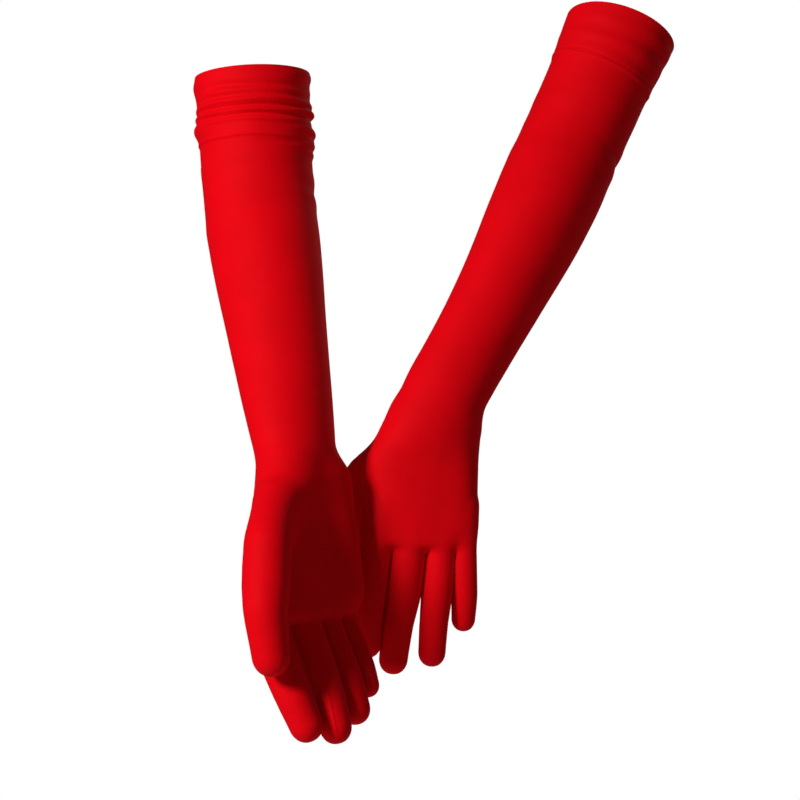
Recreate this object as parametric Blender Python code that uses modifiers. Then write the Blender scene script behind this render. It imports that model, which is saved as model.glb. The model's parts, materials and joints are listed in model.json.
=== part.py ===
"""A pair of long stretch opera gloves, standing upright as worn with the fingers down.

X runs to the right of the pair, Y away from the front, Z up.  Lengths below are millimetres.
Each glove is a chain of hollow fabric tubes: cuff hem, upper sleeve, forearm sleeve, hand, fingers.
Neighbouring tubes meet at a bend line; both ends are cut back as a shallow roof so they can turn.
"""
import math

import bmesh
import bpy
from mathutils import Vector

MM = 0.001
WALL = 1.2            # thickness of every fabric wall
GAP = 0.4             # clearance across a bend line, at the bend axis
SPARE_DEG = 1.5       # extra turning room beyond each limit
AROUND = 18           # faces around a sleeve or a cuff
FINGER_AROUND = 12    # faces around a finger
SEAM_HALF = 0.6       # half of the slit between the back and the palm of a hand
WEB_HALF_WIDTH = 3.0  # half width of the strip between two finger roots
HOLE_EASE = 0.5       # how much larger the thumb hole is than the thumb gusset
SHARP_DEG = 40.0      # edges turned more than this stay crisp
HEM_LIP = 3.0         # straight stretch of the hem next to its rim
HEM_WALL = 1.6
FOLD_WALL = 1.0
FOLD_CROWN = 1.2      # how far a gather stands out in its middle
HAND_REACH = 125.0    # how far below the wrist the hand surface is searched for its end
HAND_CORNER = 0.86    # exponent that fills out the corners of the hand's oval
CUT_OVER = 6.0        # how far a segment's tube is searched past its bend lines
GUSSET_OVER = 12.0    # how far the thumb gusset's tube is searched past the thumb's bend line
HOLE_OVER = 30.0      # how far the thumb hole's cutter runs past the thumb's bend line
HOLE_FLARE = 1.5      # how much the cutter widens on its way out
WEB_PALMAR = (-9.0, 9.5)   # reach of a strip between fingers, from the back to the palm
WEB_RISE = 1.6        # how much higher a strip's middle stands than its edges
WEB_BACK = 0.6        # how far a strip stays behind the bend lines
THUMB_OPENS = (0.75, 0.66)  # shares of thumbward and palmar in the way the thumb opens

FINGERS = ("index", "middle", "ring", "little")
KNUCKLE_RANGE = (-5.0, 60.0)
MIDDLE_RANGE = (-2.0, 70.0)
TIP_RANGE = (-1.2, 42.0)
THUMB_RANGE = (-3.0, 40.0)
THUMB_TIP_RANGE = (-2.0, 60.0)

# Half width, half depth and sideways shift of the hand at distances from the wrist.
HAND_SECTIONS = (
    (0.0, 28.5, 22.5, 0.0),
    (12.0, 31.0, 22.0, 2.5),
    (22.0, 34.5, 21.0, 5.5),
    (34.0, 38.0, 20.0, 6.0),
    (48.0, 39.7, 18.5, 4.5),
    (68.0, 40.0, 17.0, 2.0),
    (90.0, 40.2, 15.2, 0.0),
    (120.0, 40.4, 14.0, -0.5),
)

# Finger rows: sideways, distal and palmar place of the root; splay; three bends; three lengths; four radii.
RIGHT_FINGERS = {
    "index": ((31.5, 110.5, -7.0), -8.0, (16.0, 1.0, 2.0), (24.5, 23.5, 20.5), (10.4, 10.2, 9.5, 8.5)),
    "middle": ((7.5, 108.5, 0.5), -4.5, (15.5, 0.5, -4.0), (26.5, 24.0, 21.0), (10.4, 10.0, 9.3, 8.3)),
    "ring": ((-13.5, 105.0, 1.0), -4.0, (16.5, 2.0, -3.0), (24.0, 21.5, 18.0), (9.6, 9.4, 8.9, 8.0)),
    "little": ((-32.0, 102.5, 1.0), -2.0, (18.5, 3.5, -2.0), (20.5, 16.5, 13.0), (8.2, 7.9, 7.3, 6.4)),
}
LEFT_FINGERS = {
    "index": ((28.5, 100.5, 0.5), -2.0, (0.0, 4.0, 2.0), (24.5, 22.5, 19.0), (10.1, 10.4, 10.2, 8.4)),
    "middle": ((6.5, 100.5, 0.0), -1.0, (0.5, 4.0, 2.0), (27.5, 26.0, 20.5), (10.6, 11.0, 9.8, 8.9)),
    "ring": ((-15.5, 97.5, -0.5), -2.5, (0.0, 4.5, 2.5), (26.0, 24.5, 19.0), (9.8, 9.7, 9.4, 8.2)),
    "little": ((-33.5, 94.5, -1.0), -7.5, (0.0, 13.0, 13.0), (17.5, 16.5, 15.0), (7.7, 7.9, 7.6, 6.8)),
}

GLOVES = {
    "right": {
        "rim": (-132.5, 74.0, 451.0), "elbow": (-127.5, 71.0, 361.0), "wrist": (-93.0, -38.0, 174.0),
        "hand_end": (-83.5, -65.0, 76.5), "palm_faces": (0.79, -0.62, 0.0), "bow": (1.5, 0.0, 0.0),
        "elbow_bends_to": (-0.17, -0.985, 0.0), "elbow_range": (-2.0, 55.0), "wrist_range": (-30.0, 60.0),
        "hem_height": 29.0, "hem_half": (43.0, 42.0), "hem_taper": 0.5, "sleeve_top": 3.0,
        "upper": ((39.6, 38.6), (39.8, 38.4)),
        "forearm": (
            (39.8, 38.4), (39.7, 37.4), (37.4, 35.0), (34.0, 31.4), (31.2, 28.2), (29.2, 25.2), (28.5, 22.5),
        ),
        "fingers": RIGHT_FINGERS,
        "thumb": ((51.0, 62.0, 16.0), (62.0, 107.0, 16.0), (62.0, 131.0, 16.0)),
        "thumb_inside": (38.0, 34.0, 10.0), "thumb_radii": (13.2, 12.4, 11.4, 10.0),
    },
    "left": {
        "rim": (137.5, 99.0, 484.5), "elbow": (100.5, 86.0, 401.5), "wrist": (0.5, 4.0, 210.0),
        "hand_end": (-12.0, -8.0, 113.0), "palm_faces": (-0.14, 0.99, 0.0), "bow": (4.0, 0.0, 0.0),
        "elbow_bends_to": (0.82, -0.57, 0.0), "elbow_range": (-2.0, 62.0), "wrist_range": (-8.0, 60.0),
        "hem_height": 36.0, "hem_half": (41.6, 40.6), "hem_taper": 2.2, "sleeve_top": 32.0,
        "upper": ((36.8, 35.8), (36.8, 35.6)),
        "forearm": (
            (36.8, 35.6), (37.4, 35.4), (35.2, 33.0), (31.6, 29.2), (29.4, 26.6), (28.4, 24.4), (28.5, 22.5),
        ),
        "fingers": LEFT_FINGERS,
        "thumb": ((43.5, 52.0, 24.0), (49.0, 90.0, 31.5), (48.5, 119.0, 36.0)),
        "thumb_inside": (32.0, 26.0, 9.0), "thumb_radii": (13.0, 12.0, 11.0, 9.6),
    },
}

# Fold rings of the gathered right cuff: top and bottom below the rim.
FOLDS = ((29.5, 38.0), (38.5, 47.0), (47.5, 57.0))
FOLD_HALF = (43.4, 42.4)


def tangent(degrees):
    return math.tan(math.radians(degrees))


class Bend:
    """A bend line: its centre, its axis, and the two planes that neither side may cross."""

    def __init__(self, centre, axis, before, after, limits):
        self.centre = centre
        self.axis = axis.normalized()
        flat = (before - self.axis * before.dot(self.axis)).normalized()
        flat += (after - self.axis * after.dot(self.axis)).normalized()
        self.along = flat.normalized()
        self.inner = self.axis.cross(self.along)
        self.inner_slope = tangent(limits[1] / 2 + SPARE_DEG)
        self.outer_slope = tangent(-limits[0] / 2 + SPARE_DEG)

    def clearance(self, point, side):
        """Positive when the point keeps to its own side; side is +1 after the bend, -1 before it."""
        offset = point - self.centre
        inward = offset.dot(self.inner)
        roof = max(self.inner_slope * inward, -self.outer_slope * inward, 0.0)
        return side * offset.dot(self.along) - GAP - roof

    def before(self, point):
        return self.clearance(point, -1)

    def after(self, point):
        return self.clearance(point, 1)


def look_up(table, where):
    """Values of a table of rows (place, value, ...) at one place, straight between its rows."""
    if where <= table[0][0]:
        return list(table[0][1:])
    for low, high in zip(table[:-1], table[1:]):
        if where <= high[0]:
            share = (where - low[0]) / (high[0] - low[0])
            return [a + (b - a) * share for a, b in zip(low[1:], high[1:])]
    return list(table[-1][1:])


def ring_angles(count):
    return [2.0 * math.pi * step / count for step in range(count)]


def cut_place(surface, angle, clear, low, high, side):
    """Find where a line of the surface leaves the bend's forbidden wedge."""
    inside, outside = (low, high) if side > 0 else (high, low)
    for _ in range(32):
        middle = 0.5 * (inside + outside)
        if clear(surface(middle, angle)) >= 0.0:
            outside = middle
        else:
            inside = middle
    return outside


def grid_rows(surface, angles, spans, shares):
    """Points of the surface at the given angles, spread between each angle's own two ends."""
    rows = []
    for share in shares:
        row = []
        for angle, (start, end) in zip(angles, spans):
            row.append(surface(start + (end - start) * share, angle))
        rows.append(row)
    return rows


def spans_between(surface, angles, length, first=None, last=None):
    """Start and end of every line of a tube; first and last are clearance functions or None."""
    spans = []
    for angle in angles:
        start = cut_place(surface, angle, first, 0.0, length * 0.6, 1) if first else 0.0
        end = cut_place(surface, angle, last, length * 0.4, length, -1) if last else length
        spans.append((start, end))
    return spans


def shade(red, green, blue):
    return (red, green, blue, 1.0)


def new_material(name, colour):
    material = bpy.data.materials.new(name)
    material.use_nodes = True
    shader = material.node_tree.nodes["Principled BSDF"]
    shader.inputs["Base Color"].default_value = colour
    shader.inputs["Roughness"].default_value = 0.75
    material.diffuse_color = colour
    return material


def shade_smooth(shell):
    """Round faces shade smoothly; open rims and sharp turns stay crisp."""
    for face in shell.faces:
        face.smooth = True
    for edge in shell.edges:
        edge.smooth = not edge.is_boundary and edge.calc_face_angle(0.0) < math.radians(SHARP_DEG)


def add_object(name, rows, origin, collection, colour, closed=True, capped=False, wall=WALL):
    """Make one shell from rows of points, then thicken it inward."""
    mesh = bpy.data.meshes.new(name)
    shell = bmesh.new()
    grid = [[shell.verts.new((point - origin) * MM) for point in row] for row in rows]
    count = len(rows[0])
    for upper, lower in zip(grid[:-1], grid[1:]):
        for step in range(count if closed else count - 1):
            after = (step + 1) % count
            shell.faces.new((upper[step], upper[after], lower[after], lower[step]))
    if capped:
        shell.faces.new(grid[-1])
    bmesh.ops.recalc_face_normals(shell, faces=shell.faces)
    shade_smooth(shell)
    shell.to_mesh(mesh)
    shell.free()
    thing = bpy.data.objects.new(name, mesh)
    thing.location = origin * MM
    thing.data.materials.append(new_material(name + "_cloth", colour))
    collection.objects.link(thing)
    if wall:
        thicken = thing.modifiers.new("wall", "SOLIDIFY")
        thicken.thickness = wall * MM
        thicken.offset = -1.0
        thicken.use_even_offset = True
    return thing


def outward(thing, centre):
    """Turn a shell's faces away from a point inside it."""
    mesh = thing.data
    total = sum(face.normal.dot(face.center - centre) * face.area for face in mesh.polygons)
    if total < 0.0:
        mesh.flip_normals()


class Glove:
    """Frames and joints of one glove."""

    def __init__(self, side, data):
        self.side = side
        self.data = data
        self.sign = 1.0 if side == "right" else -1.0
        self.rim = Vector(data["rim"])
        self.elbow = Vector(data["elbow"])
        self.wrist = Vector(data["wrist"])
        self.distal = (Vector(data["hand_end"]) - self.wrist).normalized()
        faces = Vector(data["palm_faces"])
        self.palmar = (faces - self.distal * faces.dot(self.distal)).normalized()
        self.thumbward = self.distal.cross(self.palmar) * self.sign
        self.hinge = self.distal.cross(self.palmar)
        self.upper_dir = (self.elbow - self.rim).normalized()
        self.fore_dir = (self.wrist - self.elbow).normalized()
        bends_to = Vector(data["elbow_bends_to"])
        self.elbow_axis = self.fore_dir.cross(bends_to).normalized()
        self.elbow_bend = Bend(self.elbow, self.elbow_axis, self.upper_dir, self.fore_dir, data["elbow_range"])
        self.wrist_bend = Bend(self.wrist, self.hinge, self.fore_dir, self.distal, data["wrist_range"])
        self.chains = {finger: self.finger_chain(data["fingers"][finger]) for finger in FINGERS}

    def at_hand(self, sideways, along, palmar):
        return self.wrist + self.thumbward * sideways + self.distal * along + self.palmar * palmar

    def finger_chain(self, row):
        place, splay, bends, lengths, radii = row
        turn = math.radians(splay)
        straight = self.distal * math.cos(turn) + self.thumbward * math.sin(turn)
        axis = straight.cross(self.palmar)
        points = [self.at_hand(*place)]
        directions = []
        total = 0.0
        for bend, length in zip(bends, lengths):
            total += math.radians(bend)
            directions.append(straight * math.cos(total) + self.palmar * math.sin(total))
            points.append(points[-1] + directions[-1] * length)
        limits = (KNUCKLE_RANGE, MIDDLE_RANGE, TIP_RANGE)
        before = [self.distal] + directions[:-1]
        joints = []
        for point, first, second, limit in zip(points, before, directions, limits):
            joints.append(Bend(point, axis, first, second, limit))
        return {"points": points, "directions": directions, "joints": joints, "radii": radii, "axis": axis}


def frame_of(direction, sideways):
    across = (sideways - direction * sideways.dot(direction)).normalized()
    return across, across.cross(direction)


def straight_tube(start, end, across_hint, table):
    """Surface of a straight tube whose half sizes follow a table of (distance, half width, half depth)."""
    direction = (end - start).normalized()
    across, depth = frame_of(direction, across_hint)

    def surface(along, angle):
        wide, deep = look_up(table, along)[:2]
        return start + direction * along + across * (wide * math.cos(angle)) + depth * (deep * math.sin(angle))

    return surface


def forearm_surface(glove):
    """Surface of the forearm sleeve: its section turns from the elbow axis to the wrist axis."""
    start, end = glove.elbow, glove.wrist
    length = (end - start).length
    sizes = glove.data["forearm"]
    table = [(length * i / (len(sizes) - 1), wide, deep) for i, (wide, deep) in enumerate(sizes)]
    bow = Vector(glove.data["bow"])
    first = glove.elbow_axis
    last = glove.hinge if first.dot(glove.hinge) > 0.0 else -glove.hinge

    def surface(along, angle):
        share = min(max(along / length, 0.0), 1.0)
        across, depth = frame_of(glove.fore_dir, first.lerp(last, share * share))
        wide, deep = look_up(table, along)
        centre = start + glove.fore_dir * along + bow * math.sin(math.pi * share)
        return centre + across * (wide * math.cos(angle)) + depth * (deep * math.sin(angle))

    return surface, length


def hand_surface(glove):
    """Surface of the hand: a flattened oval that widens from the wrist to the finger roots."""

    def surface(along, angle):
        wide, deep, shift = look_up(HAND_SECTIONS, along)
        c, s = math.cos(angle), math.sin(angle)
        across = math.copysign(abs(c) ** HAND_CORNER, c) * wide
        depth = math.copysign(abs(s) ** HAND_CORNER, s) * deep
        return glove.at_hand(shift + across, along, depth)

    return surface


def hand_end_clearance(glove):
    """Clearance of a hand point from every finger root near it."""

    def clear(point):
        sideways = (point - glove.wrist).dot(glove.thumbward)
        offsets = {}
        for finger in FINGERS:
            root = glove.chains[finger]["points"][0]
            offsets[finger] = abs((root - glove.wrist).dot(glove.thumbward) - sideways)
        nearest = min(offsets.values())
        near = [f for f in FINGERS if offsets[f] <= max(nearest, glove.chains[f]["radii"][0] + 2.0)]
        return min(glove.chains[f]["joints"][0].before(point) for f in near)

    return clear


def make_cuff(glove, collection):
    """Hem ring and upper sleeve."""
    data = glove.data
    wide, deep = data["hem_half"]
    narrow = data["hem_taper"]
    height = data["hem_height"]
    table = ((0.0, wide, deep), (HEM_LIP, wide, deep), (height, wide - narrow, deep - narrow))
    hem = straight_tube(glove.rim, glove.elbow, glove.elbow_axis, table)
    angles = ring_angles(AROUND)
    shares = (0.0, HEM_LIP / height, 1.0 - HEM_LIP / height, 1.0)
    rows = grid_rows(hem, angles, [(0.0, height)] * AROUND, shares)
    add_object(glove.side + "_cuff_hem", rows, glove.rim, collection, shade(0.62, 0.0, 0.012), wall=HEM_WALL)

    top = data["sleeve_top"]
    length = (glove.elbow - glove.rim).length
    first, last = data["upper"]
    table = ((top, first[0], first[1]), (length, last[0], last[1]))
    sleeve = straight_tube(glove.rim, glove.elbow, glove.elbow_axis, table)
    spans = spans_between(sleeve, angles, length, None, glove.elbow_bend.before)
    spans = [(top, end) for _, end in spans]
    rows = grid_rows(sleeve, angles, spans, (0.0, 0.5, 1.0))
    add_object(glove.side + "_upper_sleeve", rows, glove.rim, collection, shade(0.70, 0.0, 0.015))


def make_folds(glove, collection):
    """Soft rings of gathered cloth below the right hem."""
    angles = ring_angles(AROUND)
    wide, deep = FOLD_HALF
    for number, (top, bottom) in enumerate(FOLDS, start=1):
        middle = 0.5 * (top + bottom)
        low_wide, low_deep = wide - FOLD_CROWN, deep - FOLD_CROWN
        table = ((top, low_wide, low_deep), (middle, wide, deep), (bottom, low_wide, low_deep))
        ring = straight_tube(glove.rim, glove.elbow, glove.elbow_axis, table)
        rows = grid_rows(ring, angles, [(top, bottom)] * AROUND, (0.0, 0.3, 0.7, 1.0))
        origin = glove.rim + glove.upper_dir * middle
        name = f"{glove.side}_gather_{number}"
        add_object(name, rows, origin, collection, shade(0.55, 0.0, 0.01), wall=FOLD_WALL)


def make_forearm(glove, collection):
    surface, length = forearm_surface(glove)
    angles = ring_angles(AROUND)
    spans = spans_between(surface, angles, length, glove.elbow_bend.after, glove.wrist_bend.before)
    rows = grid_rows(surface, angles, spans, [i / 6 for i in range(7)])
    add_object(glove.side + "_forearm_sleeve", rows, glove.elbow, collection, shade(0.72, 0.0, 0.016))


def half_angles(first, last, ease):
    """Angles of one half of the hand, kept clear of the side seams."""
    steps = AROUND // 2
    return [first + ease + (last - first - 2 * ease) * i / steps for i in range(steps + 1)]


def make_hand(glove, collection, cutters):
    """Back and palm of the hand, with the thumb hole cut through both."""
    surface = hand_surface(glove)
    clear_roots = hand_end_clearance(glove)
    ease = (SEAM_HALF / HAND_SECTIONS[-1][2]) ** (1.0 / HAND_CORNER)
    hole = make_thumb_gusset(glove, collection, cutters)
    for name, first, last in (("hand_palm", 0.0, math.pi), ("hand_back", math.pi, 2.0 * math.pi)):
        angles = half_angles(first, last, ease)
        spans = spans_between(surface, angles, HAND_REACH, glove.wrist_bend.after, clear_roots)
        rows = grid_rows(surface, angles, spans, [i / 6 for i in range(7)])
        colour = shade(0.66, 0.0, 0.014) if name == "hand_palm" else shade(0.74, 0.0, 0.016)
        thing = add_object(f"{glove.side}_{name}", rows, glove.wrist, collection, colour, closed=False)
        outward(thing, (glove.at_hand(0.0, 60.0, 0.0) - glove.wrist) * MM)
        opening = thing.modifiers.new("thumb_hole", "BOOLEAN")
        opening.operation = "DIFFERENCE"
        opening.solver = "EXACT"
        opening.object = hole


def thumb_bends(glove):
    root, middle, tip = [glove.at_hand(*place) for place in glove.data["thumb"]]
    inside = glove.at_hand(*glove.data["thumb_inside"])
    entry = (root - inside).normalized()
    first = (middle - root).normalized()
    second = (tip - middle).normalized()
    opens_to = glove.thumbward * THUMB_OPENS[0] + glove.palmar * THUMB_OPENS[1]
    base = Bend(root, first.cross(opens_to), entry, first, THUMB_RANGE)
    last = Bend(middle, first.cross(glove.palmar), first, second, THUMB_TIP_RANGE)
    return inside, root, middle, tip, base, last


def make_thumb_gusset(glove, collection, cutters):
    """Short sleeve that carries the thumb out of the hand; returns the solid that cuts its hole."""
    inside, root, _, _, base, _ = thumb_bends(glove)
    radius = glove.data["thumb_radii"][0]
    length = (root - inside).length
    angles = ring_angles(FINGER_AROUND)
    far = length + GUSSET_OVER
    table = ((0.0, radius, radius), (far, radius, radius))
    surface = straight_tube(inside, root, glove.palmar, table)
    spans = [(0.0, cut_place(surface, angle, base.before, length * 0.3, far, -1)) for angle in angles]
    rows = grid_rows(surface, angles, spans, (0.0, 0.5, 1.0))
    add_object(glove.side + "_thumb_gusset", rows, root, collection, shade(0.58, 0.0, 0.012))
    near, mouth = radius + HOLE_EASE, radius + HOLE_EASE + HOLE_FLARE
    far = length + HOLE_OVER
    table = ((0.0, near, near), (length, near, near), (far, mouth, mouth))
    surface = straight_tube(inside, root, glove.palmar, table)
    rows = grid_rows(surface, angles, [(-CUT_OVER, far)] * FINGER_AROUND, (0.0, 0.6, 1.0))
    cutter = add_object(glove.side + "_thumb_cutter", rows, root, cutters, shade(0.2, 0.2, 0.2), wall=0.0)
    close_ends(cutter)
    cutter.hide_render = True
    cutter.display_type = "WIRE"
    return cutter


def close_ends(thing):
    shell = bmesh.new()
    shell.from_mesh(thing.data)
    edges = [edge for edge in shell.edges if edge.is_boundary]
    bmesh.ops.holes_fill(shell, edges=edges, sides=0)
    bmesh.ops.recalc_face_normals(shell, faces=shell.faces)
    shell.to_mesh(thing.data)
    shell.free()


def tip_table(length, start_radius, end_radius):
    """Radii of a rounded tip: a taper, then a quarter round."""
    table = [(0.0, start_radius, start_radius), (length * 0.5, start_radius, start_radius)]
    table.append((length, end_radius, end_radius))
    for degrees in (24.0, 46.0, 66.0, 82.0):
        turn = math.radians(degrees)
        radius = end_radius * math.cos(turn)
        table.append((length + end_radius * math.sin(turn), radius, radius))
    return table


def make_segment(name, start, direction, length, radii, across, first, last, collection, colour):
    """One finger or thumb segment; without a last bend it ends in a rounded tip."""
    angles = ring_angles(FINGER_AROUND)
    far = length + CUT_OVER
    table = ((0.0, radii[0], radii[0]), (far, radii[1], radii[1])) if last else tip_table(length, *radii)
    surface = straight_tube(start, start + direction, across, table)
    spans = []
    for angle in angles:
        begin = cut_place(surface, angle, first.after, -CUT_OVER, length * 0.7, 1)
        finish = cut_place(surface, angle, last.before, length * 0.3, far, -1) if last else length
        spans.append((begin, finish))
    rows = grid_rows(surface, angles, spans, (0.0, 0.5, 1.0))
    if not last:
        rows += [[surface(place, angle) for angle in angles] for place, _, _ in table[3:]]
    return add_object(name, rows, start, collection, colour, capped=not last)


def make_finger(glove, finger, collection):
    chain = glove.chains[finger]
    points, directions, joints, radii = chain["points"], chain["directions"], chain["joints"], chain["radii"]
    lengths = glove.data["fingers"][finger][3]
    colour = shade(0.71, 0.0, 0.016)
    for step, label in enumerate(("base", "mid", "tip")):
        following = joints[step + 1] if step < 2 else None
        make_segment(
            f"{glove.side}_{finger}_{label}", points[step], directions[step], lengths[step],
            (radii[step], radii[step + 1]), chain["axis"], joints[step], following, collection, colour,
        )


def make_thumb(glove, collection):
    _, root, middle, tip, base, last = thumb_bends(glove)
    radii = glove.data["thumb_radii"]
    colour = shade(0.69, 0.0, 0.015)
    first = (middle - root).normalized()
    second = (tip - middle).normalized()
    make_segment(
        glove.side + "_thumb_base", root, first, (middle - root).length,
        (radii[0], radii[1]), base.axis, base, last, collection, colour,
    )
    make_segment(
        glove.side + "_thumb_tip", middle, second, (tip - middle).length,
        (radii[2], radii[3]), last.axis, last, None, collection, colour,
    )


def make_web(glove, before, after, collection):
    """Curved strip between two finger roots, standing just behind both bend lines."""
    roots = [glove.chains[f]["points"][0] for f in (before, after)]
    joints = [glove.chains[f]["joints"][0] for f in (before, after)]
    middle = (roots[0] + roots[1]) * 0.5
    offset = middle - glove.wrist
    sideways, along = offset.dot(glove.thumbward), offset.dot(glove.distal)
    first, last = WEB_PALMAR
    steps = 5

    def clear(point):
        return min(joint.before(point) for joint in joints)

    rows = []
    for step in range(steps + 1):
        palmar = first + (last - first) * step / steps
        row = []
        for shift in (-1.0, 0.0, 1.0):
            across = sideways + shift * WEB_HALF_WIDTH

            def surface(place, _):
                return glove.at_hand(across, place, palmar)

            place = cut_place(surface, 0.0, clear, along - 40.0, along + 10.0, -1)
            row.append(surface(place - WEB_BACK - WEB_RISE * (1.0 - abs(shift)), 0.0))
        rows.append(row)
    name = f"{glove.side}_web_{before}_{after}"
    thing = add_object(name, rows, middle, collection, shade(0.5, 0.0, 0.01), closed=False)
    if sum((face.normal.dot(glove.distal) for face in thing.data.polygons)) < 0.0:
        thing.data.flip_normals()


def main():
    for thing in list(bpy.data.objects):
        bpy.data.objects.remove(thing)
    collection = bpy.data.collections.new("opera_gloves")
    cutters = bpy.data.collections.new("cutters")
    bpy.context.scene.collection.children.link(collection)
    bpy.context.scene.collection.children.link(cutters)
    for side, data in GLOVES.items():
        glove = Glove(side, data)
        make_cuff(glove, collection)
        if side == "right":
            make_folds(glove, collection)
        make_forearm(glove, collection)
        make_hand(glove, collection, cutters)
        make_thumb(glove, collection)
        for finger in FINGERS:
            make_finger(glove, finger, collection)
        for before, after in zip(FINGERS[:-1], FINGERS[1:]):
            make_web(glove, before, after, collection)


main()
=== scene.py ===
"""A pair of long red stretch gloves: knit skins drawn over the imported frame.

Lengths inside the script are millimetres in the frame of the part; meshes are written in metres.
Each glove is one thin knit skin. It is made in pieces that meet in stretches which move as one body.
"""
import json
import math

import bmesh
import bpy
import numpy as np
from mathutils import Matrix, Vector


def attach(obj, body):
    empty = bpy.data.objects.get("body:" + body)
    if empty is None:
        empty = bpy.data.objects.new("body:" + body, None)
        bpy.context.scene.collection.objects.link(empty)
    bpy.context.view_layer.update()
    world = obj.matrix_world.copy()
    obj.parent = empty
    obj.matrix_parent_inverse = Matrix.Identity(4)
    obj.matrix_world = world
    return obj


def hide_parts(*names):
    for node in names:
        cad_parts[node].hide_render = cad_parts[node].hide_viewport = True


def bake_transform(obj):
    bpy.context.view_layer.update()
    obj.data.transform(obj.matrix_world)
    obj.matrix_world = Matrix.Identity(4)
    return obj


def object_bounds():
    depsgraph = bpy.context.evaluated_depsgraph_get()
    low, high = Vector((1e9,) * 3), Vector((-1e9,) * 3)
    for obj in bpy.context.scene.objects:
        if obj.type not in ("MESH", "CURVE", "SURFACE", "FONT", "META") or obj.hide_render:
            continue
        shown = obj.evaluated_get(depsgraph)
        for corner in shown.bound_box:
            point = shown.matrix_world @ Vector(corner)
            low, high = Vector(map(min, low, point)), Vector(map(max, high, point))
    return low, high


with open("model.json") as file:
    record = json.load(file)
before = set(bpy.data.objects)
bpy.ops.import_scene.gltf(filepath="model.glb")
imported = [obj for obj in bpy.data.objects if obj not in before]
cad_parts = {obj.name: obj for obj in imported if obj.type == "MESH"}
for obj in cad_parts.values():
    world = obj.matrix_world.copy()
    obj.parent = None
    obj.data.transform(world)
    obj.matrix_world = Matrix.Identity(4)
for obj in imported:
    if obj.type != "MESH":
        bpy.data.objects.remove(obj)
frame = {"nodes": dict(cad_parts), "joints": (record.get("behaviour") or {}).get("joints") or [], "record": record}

import openvdb
from mathutils import Vector

CAD_BOX = [list(corner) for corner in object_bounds()]
JOINTS = {joint["name"]: joint for joint in frame["joints"]}
MOUNTS = {mount["name"]: mount for mount in frame["record"]["mounts"]}
FINGERS = ("index", "middle", "ring", "little")

KNIT = 0.8                 # thickness of the visible cloth
VOXEL = 1.0                # grid step of the hand's surface
COARSE = 5                 # fine steps in one step of the search grid
BAND = 4.0                 # how far from the surface the hand's field is kept
SLEEVE_COLUMNS = 176
FINGER_COLUMNS = 52
ROW_STEP = 1.6             # spacing of rows along a plain sleeve
FOLD_ROW_STEP = 0.7        # spacing of rows where the cloth is gathered or stitched
FINGER_ROW_STEP = 1.2
ELBOW_ROUNDING = 32.0      # half length of the rounding of the arm's centre line at the elbow
WRIST_ROUNDING = 22.0
HAND_REACH = 42.0          # how far above the wrist the hand's skin starts
ROOT_CUT = 3.0             # how far past the root bend line a finger's own skin starts
THUMB_CUT = 8.0            # the same for the thumb, which frees itself from the palm later
ROOT_BLEND = 18.0          # how far past the root bend line a finger still swells into the palm
WEB_SOFTNESS = 4.0         # how softly a finger grows out of the palm
THUMB_SOFTNESS = 8.0
FINGER_SWELL = 1.10        # how much fuller than the frame a finger's root half is drawn
SWELL_FADE = (30.0, 48.0)  # how far past the root that fullness starts and ends fading
PALM_EDGE = 6.0            # how round the palm's far edge is
PAD_SOFTNESS = 10.0        # how softly the thumb's pad grows out of the palm
HEEL_SOFTNESS = 14.0
SMOOTHING = 4              # rounds of smoothing of the hand's surface
HAND_MARGIN = 34.0         # room around the hand in the grid that its surface is drawn from
CHUNK = 200000             # grid points worked out at a time
TIP_SHARE = 0.93           # thickness of a fingertip beside its last segment
FINGER_INSIDE = 0.98       # thickness of a finger's start inside the hand, as a share of its root
THUMB_START = 0.8          # the same for the thumb
CUFF_END = {"right": 66.0, "left": 36.0}  # where each cuff's skin ends, below the rim
SLEEVE_OVERLAP = 4.0       # how far the left sleeve reaches up inside its cuff
ELBOW_END = 36.0           # how far past the elbow its skin ends
BEND_REACH = 8.0           # how far each way a finger's bend is spread at most
ROOT_SHARE = 0.6           # how far along its first segment a finger's root skin ends
MIDDLE_SHARE = 0.5         # the same for the skin of the next segment
SHARP_DEGREES = 55.0       # corners above this are left sharp
WALE = 0.62                # width of a column of loops
COURSE = 0.5               # height of a loop
KNIT_BRIGHT = (0.80, 0.0004, 0.005)  # linear red, green and blue
KNIT_DEEP = (0.70, 0.0003, 0.004)
SEAM_HEIGHT = 0.45
SEAM_WIDTH = 0.55
SEAM_TURN = 38.0           # how far a finger's two seams sit from the middle of its side, in degrees
FLOOR_GLOW = 0.5           # how much the camera sees the floor brightened
FLOOR_HEIGHT = -0.42       # metres, like the other places of the stage
WORLD_LIGHT = 0.08
CAMERA_FROM_MIDDLE = (-0.0244, -1.1769, -0.0357)
LENS = 77.14
FILM_WIDTH = 36.0
# Lights round the middle of the gloves: azimuth, elevation and distance, then size and power.
LIGHTS = {
    "key": (-44.0, 20.0, 1.7, 0.4, 26.0),
    "fill": (60.0, 5.0, 1.8, 1.6, 0.8),
    "back": (150.0, 30.0, 1.8, 1.6, 5.0),
}


# ---------------------------------------------------------------- small helpers

def unit(v):
    return v / np.linalg.norm(v)


def millimetres(values):
    return np.array(values, float) * 1000.0


def smooth_min(a, b, softness):
    mix = np.clip(0.5 + 0.5 * (b - a) / softness, 0.0, 1.0)
    return b * (1.0 - mix) + a * mix - softness * mix * (1.0 - mix)


def smooth_max(a, b, softness):
    return -smooth_min(-a, -b, softness)


def soft_interp(x, xs, ys, reach):
    """Straight interpolation with its corners rounded over a reach."""
    x = np.asarray(x, float)
    offsets = np.linspace(-reach, reach, 9)
    return sum(np.interp(x + offset, xs, ys) for offset in offsets) / len(offsets)


def across_of(axis, direction):
    return unit(axis - direction * (axis @ direction))


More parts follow.
